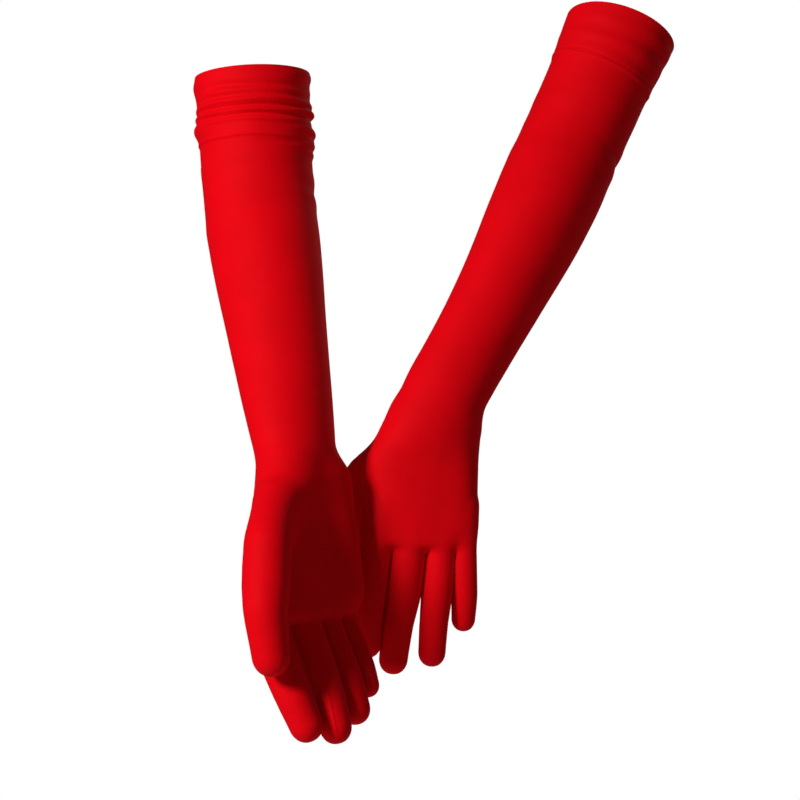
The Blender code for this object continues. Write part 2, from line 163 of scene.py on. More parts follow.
def node_points(name):
    mesh = frame["nodes"][name].data
    points = np.empty(len(mesh.vertices) * 3)
    mesh.vertices.foreach_get("co", points)
    return points.reshape(-1, 3) * 1000.0


# ---------------------------------------------------------------- the two gloves' frames

# Half width and half depth of each sleeve at distances below its rim.
SLEEVES = {
    "right": ((0, 41.0, 40.2), (60, 40.6, 39.6), (95, 40.2, 39.0), (130, 40.2, 38.2), (165, 38.0, 35.4),
              (200, 35.0, 32.0), (240, 32.3, 28.6), (275, 30.8, 25.8), (313, 29.8, 23.2), (340, 29.8, 23.2)),
    "left": ((0, 41.8, 41.0), (20, 40.0, 39.0), (36, 38.8, 37.6), (92, 38.2, 36.8), (130, 39.9, 37.4),
             (170, 38.1, 35.0), (215, 33.8, 30.6), (255, 30.9, 27.4), (290, 29.5, 25.0), (323, 29.5, 23.2),
             (350, 29.5, 23.2)),
}
BOW = {"right": -0.5, "left": 4.0}

# Half width, half depth and thumbward shift of the palm at distances past the wrist.
PALM = ((0, 28.5, 22.0, 0.0), (13, 31.0, 20.8, 2.5), (23, 34.0, 19.4, 4.5), (36, 37.0, 17.8, 5.0),
        (50, 38.8, 16.4, 4.0), (72, 40.0, 15.0, 2.0), (95, 40.0, 13.4, 0.0), (125, 40.0, 12.4, -0.5))
PALM_TRIM = {"right": (1.0, 0.0), "left": (0.95, 3.0)}  # share of the width, extra thumbward shift
# How far each finger leans to the thumb's side of the frame: at its root, bends and end.
LEAN = {
    "right": {"thumb": (2.8, -1.5, -6.0), "index": (2.5, 4.0, 4.5, 1.5)},
    "left": {"thumb": (-3.0, 0.5, 3.0), "index": (1.2, 1.4, 1.5, 1.5), "middle": (0.0, 0.3, 2.0, 3.0),
             "ring": (0.2, 0.4, 0.6, 1.0), "little": (2.2, 2.0, 1.6, 1.8)},
}
# How much fuller and longer than the frame a finger is drawn.
FULLER = {"right": {"thumb": 1.04, "index": 1.07}, "left": {}}
LONGER = {"right": {"thumb": 4.0}, "left": {}}
# The pad of the thumb: its start from the wrist, its end from the thumb's root, two radii.
PAD = {
    "right": ((14.0, 10.0, 3.0), (-9.0, -8.0, -6.0), 14.0, 12.0),
    "left": ((15.5, 10.0, 3.0), (-13.0, -8.0, -6.0), 15.0, 11.0),
}
# Where the thumb's centre line starts inside the hand, from the thumb's root.
THUMB_INSIDE = {"right": (-21.0, -31.0, -9.0), "left": (-27.0, -31.0, -9.0)}
# The pad on the little finger's side of the palm: start and end (thumbward, along, palmar), two radii.
HEEL = {
    "right": ((-20.5, 14.0, 8.0), (-31.5, 84.0, 6.0), 16.0, 12.0),
    "left": ((-18.5, 16.0, 5.0), (-25.5, 76.0, 3.0), 14.0, 10.5),
}
ROUND, SQUARISH = 2.0, 2.4  # how square the section is at the wrist and at the finger roots

# Gathers of the right cuff: distance below the rim, height, width, the way it faces, how far round it runs.
# A gather faces 0 degrees at the front and 90 at the right; a crease has a negative height.
RIGHT_GATHERS = (
    (3.5, 1.5, 4.0, 95, 60), (7.0, 1.7, 6.0, -95, 50), (5.0, 1.2, 5.0, 185, 70),
    (13.5, -1.6, 2.6, 8, 50), (17.0, 1.3, 2.4, 5, 55), (15.0, 1.5, 3.0, 175, 75),
    (20.6, -0.9, 1.8, 5, 75), (24.2, 1.7, 2.3, 18, 110), (21.0, 1.6, 3.2, -165, 60),
    (28.2, -2.1, 1.7, 25, 85), (25.5, -1.0, 2.0, 165, 70), (31.4, 1.9, 1.9, 5, 125),
    (30.0, 1.8, 3.0, 180, 55), (34.4, -1.6, 1.7, 22, 75), (37.8, 1.3, 1.7, 8, 75),
    (36.5, 1.7, 3.2, -150, 60), (30.0, 2.2, 3.4, 98, 42), (39.0, 2.8, 5.2, -92, 42),
    (44.5, 3.0, 3.6, 98, 46), (44.0, 1.5, 3.6, 170, 60), (49.6, 0.8, 1.2, 5, 150),
    (53.5, 2.6, 3.4, 98, 42), (56.0, 1.4, 3.6, 178, 50), (61.5, 1.3, 2.6, 98, 34),
    (54.0, -0.9, 2.6, 40, 40),
)
# The left cuff lies flat: a soft pull below its rim and the stitched step at its lower edge.
LEFT_GATHERS = (
    (9.0, 0.5, 3.0, 30, 70), (14.5, -0.45, 3.0, 20, 80), (20.0, 0.5, 2.6, -10, 90),
    (26.0, -0.4, 2.4, 40, 70), (33.4, 0.5, 0.8, 0, 400), (31.6, -0.35, 0.7, 0, 400),
)
HEM_STEP = {"right": 49.6, "left": 36.0}  # where the doubled band ends, below the rim
HEM_HEIGHT = 0.45
HEM_SOFTNESS = 0.5
RIM_RISE = 9.5             # how far the front right of the left cuff is pulled up
RIM_RISE_FACES = 40.0      # the way that side faces
RIM_RISE_REACH = 34.0      # how far below the rim the pull ends
ELBOW_FOLDS = (
    (-22, 0.45, 7, -40, 60), (-8, 0.7, 6, 120, 70), (2, -0.5, 5, 130, 70), (12, 0.65, 6, 110, 80),
    (26, 0.4, 8, -60, 60), (-34, 0.35, 9, 30, 60),
)


class Chain:
    """Centre line of a finger or thumb, from inside the hand to its tip."""

    def __init__(self, names, joint_names, inside, lean, fuller, longer):
        self.axis = unit(np.array(JOINTS[joint_names[0]]["axis"]))
        points = [millimetres(JOINTS[name]["pos_m"]) for name in joint_names]
        tip = node_points(names[-1])
        centre = 0.5 * (tip.min(0) + tip.max(0))
        direction = unit(centre - points[-1])
        reach = ((tip - points[-1]) @ direction).max()
        self.joints = points
        radii = []
        for name, start, end in zip(names, points, points[1:] + [points[-1] + direction * reach]):
            cloud = node_points(name) - start
            along = unit(end - start)
            spread = np.linalg.norm(cloud - np.outer(cloud @ along, along), axis=1)
            radii.append(spread.max() * fuller)
        self.tip_radius = TIP_SHARE * radii[-1] / fuller
        self.radii = radii
        knots = [inside] + points + [points[-1] + direction * (reach + longer - self.tip_radius)]
        self.knots = np.array(knots) + np.concatenate([lean[:1], lean])
        spans = np.linalg.norm(np.diff(self.knots, axis=0), axis=1)
        self.places = np.concatenate([[0.0], np.cumsum(spans)])
        self.root = self.places[1]
        self.length = self.places[-1]
        self.samples = None

    def centre(self, place):
        """Point of the centre line, its corners rounded; place is measured from the inner end."""
        place = np.atleast_1d(np.asarray(place, float))
        offsets = np.linspace(-5.0, 5.0, 9)
        first = unit(self.knots[1] - self.knots[0])
        last = unit(self.knots[-1] - self.knots[-2])
        total = np.zeros((len(place), 3))
        for offset in offsets:
            here = place + offset
            total += np.stack([np.interp(here, self.places, self.knots[:, i]) for i in range(3)], axis=1)
            total += np.minimum(here, 0.0)[:, None] * first
            total += np.maximum(here - self.length, 0.0)[:, None] * last
        return total / len(offsets)

    def ahead(self, place):
        step = self.centre(np.asarray(place, float) + 0.5) - self.centre(np.asarray(place, float) - 0.5)
        return step / np.linalg.norm(step, axis=1)[:, None]

    def radius(self, place):
        """Half thickness along the centre line, without the rounded end."""
        r = self.radii
        places = [0.0, self.root] + [float(p) for p in self.places[2:]]
        start = FINGER_INSIDE if len(r) > 2 else THUMB_START
        bends = [0.5 * (a + b) for a, b in zip(r[:-1], r[1:])]
        values = [r[0] * start, r[0]] + bends + [self.tip_radius]
        fade = [self.root + SWELL_FADE[0], self.root + SWELL_FADE[1]]
        swell = np.interp(place, fade, [FINGER_SWELL, 1.0])
        return soft_interp(place, places, values, 6.0) * swell

    def field(self, points):
        """Signed distance to the rounded tube around the centre line, near its root."""
        if self.samples is None:
            places = np.arange(0.0, min(self.root + 30.0, self.length), 5.0)
            self.samples = self.centre(places), self.radius(places)
        line, radii = self.samples
        best = np.full(len(points), 1e9)
        for start, end, r0, r1 in zip(line[:-1], line[1:], radii[:-1], radii[1:]):
            step = end - start
            offset = points - start
            t = np.clip((offset @ step) / (step @ step), 0.0, 1.0)
            offset -= t[:, None] * step
            best = np.minimum(best, np.sqrt((offset * offset).sum(1)) - (r0 + (r1 - r0) * t))
        return best


class Glove:
    """Places and directions of one glove, read from its joints."""

    def __init__(self, side):
        self.side = side
        sign = 1.0 if side == "right" else -1.0
        self.upper = unit(np.array(JOINTS[side + "_cuff_slide"]["axis"]))
        self.elbow = millimetres(JOINTS[side + "_elbow"]["pos_m"])
        self.wrist = millimetres(JOINTS[side + "_wrist"]["pos_m"])
        hem = node_points(side + "_cuff_hem")
        middle = 0.5 * (hem.min(0) + hem.max(0))
        rim = millimetres(MOUNTS[side + "_cuff_rim"]["pos_m"])
        self.rim = middle + self.upper * ((rim - middle) @ self.upper)
        self.upper_length = np.linalg.norm(self.elbow - self.rim)
        self.fore = unit(self.wrist - self.elbow)
        self.fore_length = np.linalg.norm(self.wrist - self.elbow)
        self.length = self.upper_length + self.fore_length
        self.elbow_axis = unit(np.array(JOINTS[side + "_elbow"]["axis"]))
        self.hinge = unit(np.array(JOINTS[side + "_wrist"]["axis"]))
        roots = [millimetres(JOINTS[f"{side}_{f}_knuckle"]["pos_m"]) for f in FINGERS]
        ahead = 0.5 * (roots[1] + roots[2]) - self.wrist
        self.distal = across_of(ahead, self.hinge)
        self.palmar = np.cross(self.hinge, self.distal)
        self.thumbward = self.hinge * sign
        self.basis = np.stack([self.thumbward, self.distal, self.palmar])
        self.last_axis = self.hinge if self.elbow_axis @ self.hinge > 0 else -self.hinge
        self.sizes = np.array(SLEEVES[side], float)
        self.root_places = np.array([self.local(root) for root in roots])
        self.chains = {}
        for finger, root in zip(FINGERS, self.root_places):
            names = [f"{side}_{finger}_{part}" for part in ("base", "mid", "tip")]
            joints = [f"{side}_{finger}_{part}" for part in ("knuckle", "middle", "end")]
            inside = self.world(np.array([root[0] * 0.93, root[1] - 30.0, root[2] * 0.5 - 0.5]))
            self.chains[finger] = Chain(names, joints, inside, *self.shape(finger, 4))
        names = [side + "_thumb_base", side + "_thumb_tip"]
        joints = [side + "_thumb_open", side + "_thumb_bend"]
        root = self.local(millimetres(JOINTS[joints[0]]["pos_m"]))
        inside = self.world(root + np.array(THUMB_INSIDE[side]))
        self.chains["thumb"] = Chain(names, joints, inside, *self.shape("thumb", 3))
        self.make_line()

    def shape(self, name, count):
        """How a finger differs from its frame: shifts of its points, share of thickness, extra length."""
        shifts = LEAN[self.side].get(name, (0.0,) * count)
        lean = np.array(shifts)[:, None] * self.thumbward
        return lean, FULLER[self.side].get(name, 1.0), LONGER[self.side].get(name, 0.0)

    def local(self, point):
        return self.basis @ (point - self.wrist)

    def world(self, point):
        return self.wrist + point @ self.basis

    # ---- the sleeve and the palm: one oval section drawn along one bent line

    def make_line(self):
        """Table of the centre line, its directions and its section, one row per millimetre."""
        self.line_start = -40.0
        places = np.arange(self.line_start, self.length + 150.0, 1.0)
        spots = [self.upper_length + 40.0, self.length - 60.0]
        reach = np.interp(places, spots, [ELBOW_ROUNDING, WRIST_ROUNDING])
        centre = np.zeros((len(places), 3))
        steps = np.linspace(-1.0, 1.0, 17)
        for step in steps:
            here = places + step * reach
            before = np.minimum(here - self.upper_length, 0.0)
            between = np.clip(here - self.upper_length, 0.0, self.fore_length)
            after = np.maximum(here - self.length, 0.0)
            centre += self.elbow + before[:, None] * self.upper + between[:, None] * self.fore
            centre += after[:, None] * self.distal
        centre /= len(steps)
        share = np.clip((places - self.upper_length) / self.fore_length, 0.0, 1.0)
        centre[:, 0] += BOW[self.side] * np.sin(math.pi * share)
        ahead = np.gradient(centre, axis=0)
        ahead /= np.linalg.norm(ahead, axis=1)[:, None]
        turn = (share ** 2)[:, None]
        axis = self.elbow_axis * (1.0 - turn) + self.last_axis * turn
        axis -= ahead * (axis * ahead).sum(1)[:, None]
        axis /= np.linalg.norm(axis, axis=1)[:, None]
        depth = np.cross(axis, ahead)
        palm = np.array(PALM, float)
        share, extra = PALM_TRIM[self.side]
        palm[3:, 1] *= share
        palm[3:, 3] += extra
        rows = np.concatenate([self.sizes, palm[1:, :3] + np.array([self.length, 0.0, 0.0])])
        wide = soft_interp(places, rows[:, 0], rows[:, 1], 12.0)
        deep = soft_interp(places, rows[:, 0], rows[:, 2], 12.0)
        shift = soft_interp(places - self.length, palm[:, 0], palm[:, 3], 8.0)
        centre = centre + (shift * (places > self.length - 20.0))[:, None] * self.thumbward
        power = np.interp(places - self.length, [-10.0, 50.0], [ROUND, SQUARISH])
        self.line = np.concatenate(
            [centre, ahead, axis, depth, wide[:, None], deep[:, None], power[:, None]], axis=1)

    def line_at(self, place):
        """Centre, ahead, axis, depth, half width, half depth and squareness at distances below the rim."""
        spot = np.clip(np.atleast_1d(place) - self.line_start, 0.0, len(self.line) - 1.001)
        low = spot.astype(int)
        share = (spot - low)[:, None]
        row = self.line[low] * (1.0 - share) + self.line[low + 1] * share
        return row[:, 0:3], row[:, 3:6], row[:, 6:9], row[:, 9:12], row[:, 12], row[:, 13], row[:, 14]

    def arm_point(self, place):
        return self.line_at(place)[0][0]

    def place_of(self, points):
        """How far below the rim points lie, measured along the bent line."""
        over = (points - self.elbow) @ self.fore + self.upper_length
        past = (points - self.wrist) @ self.distal + self.length
        share = np.clip((0.5 * (over + past) - self.length) / 60.0 + 0.5, 0.0, 1.0)
        share = share * share * (3.0 - 2.0 * share)
        return over * (1.0 - share) + past * share

    def oval_field(self, points):
        """Signed distance to the oval tube of forearm and palm, near its surface."""
        centre, _, axis, depth, wide, deep, power = self.line_at(self.place_of(points))
        offset = points - centre
        u = np.abs((offset * axis).sum(1)) / wide + 1e-6
        v = np.abs((offset * depth).sum(1)) / deep + 1e-6
        size = (u ** power + v ** power) ** (1.0 / power)
        slope = np.hypot((u / size) ** (power - 1.0) / wide, (v / size) ** (power - 1.0) / deep)
        return (size - 1.0) / slope

    # ---- the hand

    def palm_end(self, local):
        """How far points lie past the line through the finger roots."""
        order = np.argsort(self.root_places[:, 0])
        places = self.root_places[order]
        return local[:, 1] - np.interp(local[:, 0], places[:, 0], places[:, 1])

    def muscle(self, local, start, end, r0, r1):
        start, end = np.array(start, float), np.array(end, float)
        step = end - start
        t = np.clip(((local - start) @ step) / (step @ step), 0.0, 1.0)
        away = local - start - t[:, None] * step
        return np.sqrt((away * away).sum(1)) - (r0 + (r1 - r0) * t)

    def body_field(self, points):
        """The hand without its fingers: forearm end, palm and the two pads of the palm."""
        local = (points - self.wrist) @ self.basis.T
        body = smooth_max(self.oval_field(points), self.palm_end(local) + 1.5, PALM_EDGE)
        thumb = self.local(self.chains["thumb"].joints[0])
        start, end, r0, r1 = PAD[self.side]
        pad = self.muscle(local, start, thumb + np.array(end), r0, r1)
        body = smooth_min(body, pad, PAD_SOFTNESS)
        heel = self.muscle(local, *HEEL[self.side])
        return smooth_min(body, heel, HEEL_SOFTNESS)

    def field(self, points):
        """The whole hand, near its body."""
        body = self.body_field(points)
        result = smooth_min(body, self.chains["thumb"].field(points), THUMB_SOFTNESS)
        for finger in FINGERS:
            result = np.minimum(result, smooth_min(body, self.chains[finger].field(points), WEB_SOFTNESS))
        return result

    def single_field(self, points, name):
        """The hand's body with one finger only, which is what that finger's skin follows at its root."""
        soft = THUMB_SOFTNESS if name == "thumb" else WEB_SOFTNESS
        return smooth_min(self.body_field(points), self.chains[name].field(points), soft)


# ---------------------------------------------------------------- cloth material

def nodes_of(material):
    material.use_nodes = True
    return material.node_tree.nodes, material.node_tree.links


def math_node(nodes, links, operation, first, second=None, third=None):
    node = nodes.new("ShaderNodeMath")
    node.operation = operation
    for socket, value in zip(node.inputs, (first, second, third)):
        if value is None:
            continue
        if isinstance(value, (int, float)):
            socket.default_value = value
        else:
            links.new(value, socket)
    return node.outputs[0]


def knit_material(name, bright, deep):
    """Fine stretch knit: columns of small loops, a soft sheen and a little uneven dye."""
    material = bpy.data.materials.new(name)
    nodes, links = nodes_of(material)
    shader = nodes["Principled BSDF"]
    place = nodes.new("ShaderNodeAttribute")
    place.attribute_name = "weave"
    parts = nodes.new("ShaderNodeSeparateXYZ")
    links.new(place.outputs["Vector"], parts.inputs[0])
    across, along = parts.outputs[0], parts.outputs[1]
    column = math_node(nodes, links, "MULTIPLY", across, 2.0 * math.pi / WALE)
    ribs = math_node(nodes, links, "ABSOLUTE", math_node(nodes, links, "SINE", column))
    slant = math_node(nodes, links, "MULTIPLY", ribs, 1.3)
    row = math_node(nodes, links, "MULTIPLY_ADD", along, 2.0 * math.pi / COURSE, slant)
    loops = math_node(nodes, links, "SINE", row)
    ridges = math_node(nodes, links, "MULTIPLY", ribs, 0.6)
    height = math_node(nodes, links, "MULTIPLY_ADD", loops, 0.25, ridges)
    patch = nodes.new("ShaderNodeTexNoise")
    patch.inputs["Scale"].default_value = 0.035
    patch.inputs["Detail"].default_value = 4.0
    links.new(place.outputs["Vector"], patch.inputs["Vector"])
    grain = nodes.new("ShaderNodeTexNoise")
    grain.inputs["Scale"].default_value = 1.1
    grain.inputs["Detail"].default_value = 2.0
    links.new(place.outputs["Vector"], grain.inputs["Vector"])
    blend = math_node(nodes, links, "MULTIPLY_ADD", patch.outputs["Fac"], 0.55,
                      math_node(nodes, links, "MULTIPLY", grain.outputs["Fac"], 0.45))
    colour = nodes.new("ShaderNodeValToRGB")
    colour.color_ramp.elements[0].position = 0.32
    colour.color_ramp.elements[0].color = (*deep, 1.0)
    colour.color_ramp.elements[1].position = 0.62
    colour.color_ramp.elements[1].color = (*bright, 1.0)
    links.new(blend, colour.inputs[0])
    links.new(colour.outputs[0], shader.inputs["Base Color"])
    relief = math_node(nodes, links, "MULTIPLY_ADD", grain.outputs["Fac"], 0.5, height)
    surface = nodes.new("ShaderNodeBump")
    surface.inputs["Strength"].default_value = 0.22
    surface.inputs["Distance"].default_value = 0.00012
    links.new(relief, surface.inputs["Height"])
    links.new(surface.outputs[0], shader.inputs["Normal"])
    shader.inputs["Roughness"].default_value = 0.68
    shader.inputs["Specular IOR Level"].default_value = 0.04
    shader.inputs["Sheen Weight"].default_value = 0.06
    shader.inputs["Sheen Roughness"].default_value = 0.45
    shader.inputs["Sheen Tint"].default_value = (1.0, 0.02, 0.05, 1.0)
    return material


# ---------------------------------------------------------------- meshes

def build_object(name, points, faces, weave, material):
    mesh = bpy.data.meshes.new(name)
    mesh.from_pydata((np.asarray(points) * 0.001).tolist(), [], faces)
    mesh.validate()
    mesh.shade_smooth()
    mesh.set_sharp_from_angle(angle=math.radians(SHARP_DEGREES))
    layer = mesh.attributes.new("weave", "FLOAT_VECTOR", "POINT")
    layer.data.foreach_set("vector", np.asarray(weave, np.float32).ravel())
    mesh.materials.append(material)
    thing = bpy.data.objects.new(name, mesh)
    bpy.context.scene.collection.objects.link(thing)
    return thing


def vertex_normals(points, faces):
    mesh = bpy.data.meshes.new("normals")
    mesh.from_pydata(np.asarray(points).tolist(), [], faces)
    normals = np.empty(len(points) * 3)
    mesh.vertex_normals.foreach_get("vector", normals)
    bpy.data.meshes.remove(mesh)
    return normals.reshape(-1, 3)


def boundary_edges(faces):
    """Directed edges that belong to one face only."""
    seen = {}
    for face in faces:
        for a, b in zip(face, face[1:] + face[:1]):
            seen[(a, b)] = True
    return [(a, b) for a, b in seen if (b, a) not in seen]


def shell(name, points, faces, weave, material):
    """Close an open skin into thin cloth by adding its inner face and its edges."""
    points = np.asarray(points, float)
    faces = [tuple(int(i) for i in face) for face in faces]
    count = len(points)
    inner = points - vertex_normals(points, faces) * KNIT
    solid = list(faces)
    solid += [tuple(count + i for i in reversed(face)) for face in faces]
    solid += [(b, a, count + a, count + b) for a, b in boundary_edges(faces)]
    everything = np.concatenate([points, inner])
    return build_object(name, everything, solid, np.concatenate([weave, weave]), material)


def grid_faces(rows, columns):
    """Quads of a tube of rows; they face out when its columns turn left-handed about its rows."""
    faces = []
    for r in range(rows - 1):
        for c in range(columns):
            n = (c + 1) % columns
            faces.append((r * columns + c, (r + 1) * columns + c, (r + 1) * columns + n, r * columns + n))
    return faces


# ---------------------------------------------------------------- sleeves

def no_relief(place, faces):
    return np.zeros_like(faces)


def gather_relief(gathers, origin):
    """Relief of soft ridges and creases that each run part of the way round."""

    def relief(place, faces):
        total = np.zeros_like(faces)
        for centre, height, width, middle, spread in gathers:
            turn = (faces - math.radians(middle) + math.pi) % (2.0 * math.pi) - math.pi
            reach = np.exp(-(turn / math.radians(spread)) ** 4)
            drift = 0.9 * np.sin(2.0 * turn + centre) + 0.35 * np.sin(5.0 * turn + 2.0 * centre)
            total += height * reach * np.exp(-((place - origin - centre - drift) / width) ** 2)
        return total

    return relief


def cuff_relief(side):
    """A cuff's gathers and the step where its doubled band ends."""
    gathers = gather_relief(RIGHT_GATHERS if side == "right" else LEFT_GATHERS, 0.0)

    def relief(place, faces):
        band = HEM_HEIGHT / (1.0 + np.exp((place - HEM_STEP[side]) / HEM_SOFTNESS))
        return gathers(place, faces) + band

    return relief


def elbow_relief(glove, above):
    """Soft folds at the elbow, added to what is left of the relief above it."""
    folds = gather_relief(ELBOW_FOLDS, glove.upper_length)

    def relief(place, faces):
        return folds(place, faces) + above(place, faces)

    return relief


def rim_rise(place, faces):
    """How far the left cuff is pulled up above its frame: most at the front right, nothing below the hem."""
    turn = faces - math.radians(RIM_RISE_FACES)
    share = np.clip(1.0 - place / RIM_RISE_REACH, 0.0, 1.0)
    return RIM_RISE * (0.5 + 0.5 * np.cos(turn)) * share * share * (3.0 - 2.0 * share)


def sleeve_skin(glove, name, first, last, relief, material, step=ROW_STEP, rise=None):
    """A tube of sleeve between two distances below the rim; relief pushes the cloth out."""
    rows = max(2, int(round((last - first) / step)) + 1)
    places = np.linspace(first, last, rows)
    angles = np.linspace(0.0, 2.0 * math.pi, SLEEVE_COLUMNS, endpoint=False)
    centre, ahead, axis, depth, wide, deep, _ = glove.line_at(places)
    points, weave = [], []
    for i, place in enumerate(places):
        rays = np.cos(angles)[:, None] * axis[i] + np.sin(angles)[:, None] * depth[i]
        faces = np.arctan2(rays[:, 0], -rays[:, 1])
        out = relief(place, faces)
        x = (wide[i] + out) * np.cos(angles)
        z = (deep[i] + out) * np.sin(angles)
        ring = centre[i] + x[:, None] * axis[i] + z[:, None] * depth[i]
        if rise:
            ring = ring - rise(place, faces)[:, None] * ahead[i]
        points.append(ring)
        turn = angles * 0.5 * (wide[i] + deep[i])
        weave.append(np.stack([turn, np.full_like(turn, place), np.zeros_like(turn)], axis=1))
    faces = grid_faces(rows, SLEEVE_COLUMNS)
    return shell(name, np.concatenate(points), faces, np.concatenate(weave), material)


# ---------------------------------------------------------------- fingers

def seam_angles(glove, name, chain):
    """Angles of the seams that run along a finger, two on each side that has a neighbour."""
    if name == "thumb":
        sides = (0.0, math.pi)
        turns = (0.0,)
    else:
        thumb_side = 0.0 if chain.axis @ glove.thumbward > 0.0 else math.pi
        sides = {"index": (thumb_side + math.pi,), "little": (thumb_side,)}.get(name, (0.0, math.pi))
        turns = (-math.radians(SEAM_TURN), math.radians(SEAM_TURN))
    return [(side + turn) % (2.0 * math.pi) for side in sides for turn in turns]


def column_angles(seams, radius):
    """Even columns, with a few close ones across each seam."""
    angles = list(np.linspace(0.0, 2.0 * math.pi, FINGER_COLUMNS, endpoint=False))
    near = [step * SEAM_WIDTH / radius for step in (-2.2, -1.3, -0.65, 0.0, 0.65, 1.3, 2.2)]
    for seam in seams:
        gap = [abs((a - seam + math.pi) % (2.0 * math.pi) - math.pi) for a in angles]
        angles = [a for a, g in zip(angles, gap) if g > 3.0 * SEAM_WIDTH / radius]
        angles += [(seam + offset) % (2.0 * math.pi) for offset in near]
    return np.array(sorted(angles))


def seam_relief(angles, seams, radius):
    total = np.zeros_like(angles)
    for seam in seams:
        turn = (angles - seam + math.pi) % (2.0 * math.pi) - math.pi
        total += SEAM_HEIGHT * np.exp(-(turn * radius / SEAM_WIDTH) ** 2)
    return total


def finger_skin(glove, name, chain, first, last, material, object_name, closed):
    """A stretch of a finger's skin; places are measured along the chain from the root bend line."""
    seams = seam_angles(glove, name, chain)
    angles = column_angles(seams, chain.radii[0])
    columns = len(angles)
    rows = max(2, int(round((last - first) / FINGER_ROW_STEP)) + 1)
    places = np.linspace(first, last, rows) + chain.root
    centre, ahead, radius = chain.centre(places), chain.ahead(places), chain.radius(places)
    points, weave = [], []
    for i, place in enumerate(places):
        rays = finger_rays(chain, ahead[i], angles)
        size = np.full(columns, radius[i])
        if place - chain.root < ROOT_BLEND:
            size = root_radius(glove, name, centre[i], rays, radius[i])
        fade = np.clip((place - chain.root - root_cut(name)) / 8.0, 0.0, 1.0)
        size = size + fade * seam_relief(angles, seams, radius[i])
        points.append(centre[i] + rays * size[:, None])
        weave.append(np.stack([angles * radius[i], np.full(columns, place), np.zeros(columns)], axis=1))
    if closed:
        tip_rows(chain, centre[-1], ahead[-1], radius[-1], angles, seams, points, weave)
    rows = len(points)
    faces = grid_faces(rows, columns)
    points, weave = np.concatenate(points), np.concatenate(weave)
    if closed:
        pole = points[-columns:].mean(0)
        points = np.concatenate([points, [pole]])
        weave = np.concatenate([weave, [weave[-columns:].mean(0)]])
        base = (rows - 1) * columns
        faces += [(base + (c + 1) % columns, base + c, len(points) - 1) for c in range(columns)]
    return shell(object_name, points, faces, weave, material)


def finger_rays(chain, ahead, angles):
    side = across_of(chain.axis, ahead)
    up = np.cross(side, ahead)
    return np.cos(angles)[:, None] * side + np.sin(angles)[:, None] * up


def tip_rows(chain, centre, ahead, radius, angles, seams, points, weave):
    """Rounded end of a finger."""
    rays = finger_rays(chain, ahead, angles)
    start = weave[-1][0, 1]
    for degrees in np.linspace(6.0, 88.0, 18):
        turn = math.radians(degrees)
        fade = max(0.0, 1.0 - degrees / 60.0)
        size = radius * math.cos(turn) ** 0.9 + fade * seam_relief(angles, seams, radius)
        points.append(centre + ahead * (radius * 1.08 * math.sin(turn)) + rays * size[:, None])
        along = np.full_like(angles, start + radius * turn)
        weave.append(np.stack([angles * radius, along, np.zeros_like(angles)], axis=1))


def root_cut(name):
    return THUMB_CUT if name == "thumb" else ROOT_CUT


def root_radius(glove, name, centre, rays, radius):
    """Distance out to the skin where a finger grows from the palm."""
    low = np.full(len(rays), radius * 0.6)
    high = np.full(len(rays), radius * 1.9)
    for _ in range(14):
        middle = 0.5 * (low + high)
        inside = glove.single_field(centre + rays * middle[:, None], name) < 0.0
        low = np.where(inside, middle, low)
        high = np.where(inside, high, middle)
    return 0.5 * (low + high)


# ---------------------------------------------------------------- hand

def hand_surface(glove):
    """Quads of the hand from above the wrist to past the finger roots, drawn from its field."""
    reach = [glove.arm_point(glove.length - HAND_REACH - 4.0), glove.wrist]
    for chain in glove.chains.values():
        reach += [chain.centre(chain.root + 8.0)[0], chain.centre(chain.root - 20.0)[0]]
    reach = np.array(reach)
    low, high = reach.min(0) - HAND_MARGIN, reach.max(0) + HAND_MARGIN
    step = VOXEL * COARSE
    blocks = np.ceil((high - low) / step).astype(int)
    middles = [low[i] + step * (np.arange(blocks[i]) + 0.5) - 0.5 * VOXEL for i in range(3)]
    grid = np.stack(np.meshgrid(*middles, indexing="ij"), axis=-1).reshape(-1, 3)
    rough = glove.field(grid).reshape(blocks)
    near = np.abs(rough) < step * 1.3 + 1.5
    sign = np.where(rough > 0.0, BAND, -BAND)
    values = np.repeat(np.repeat(np.repeat(sign, COARSE, 0), COARSE, 1), COARSE, 2).astype(np.float32)
    wanted = np.repeat(np.repeat(np.repeat(near, COARSE, 0), COARSE, 1), COARSE, 2)
    cells = np.argwhere(wanted)
    for part in np.array_split(cells, max(1, len(cells) // CHUNK)):
        found = np.clip(glove.field(low + part * VOXEL), -BAND, BAND)
        values[part[:, 0], part[:, 1], part[:, 2]] = found
    volume = openvdb.FloatGrid()
    volume.background = BAND
    volume.copyFromArray(values, tolerance=0.0)
    points, quads = volume.convertToQuads(0.0)
    points = low + np.asarray(points, float) * VOXEL
    quads = np.asarray(quads)
    return relax(project(glove, points), quads), quads


def project(glove, points):
    """Move points onto the zero surface of the hand's field."""
    small = 0.05
    for _ in range(2):
        value = glove.field(points)
        slope = np.zeros_like(points)
        for axis in range(3):
            shift = np.zeros(3)
            shift[axis] = small
            slope[:, axis] = (glove.field(points + shift) - glove.field(points - shift)) / (2 * small)
        size = np.maximum((slope * slope).sum(1), 0.15)
        move = (value / size)[:, None] * slope
        length = np.linalg.norm(move, axis=1)
        points = points - move * np.minimum(1.0, 0.8 / np.maximum(length, 1e-9))[:, None]
    return points


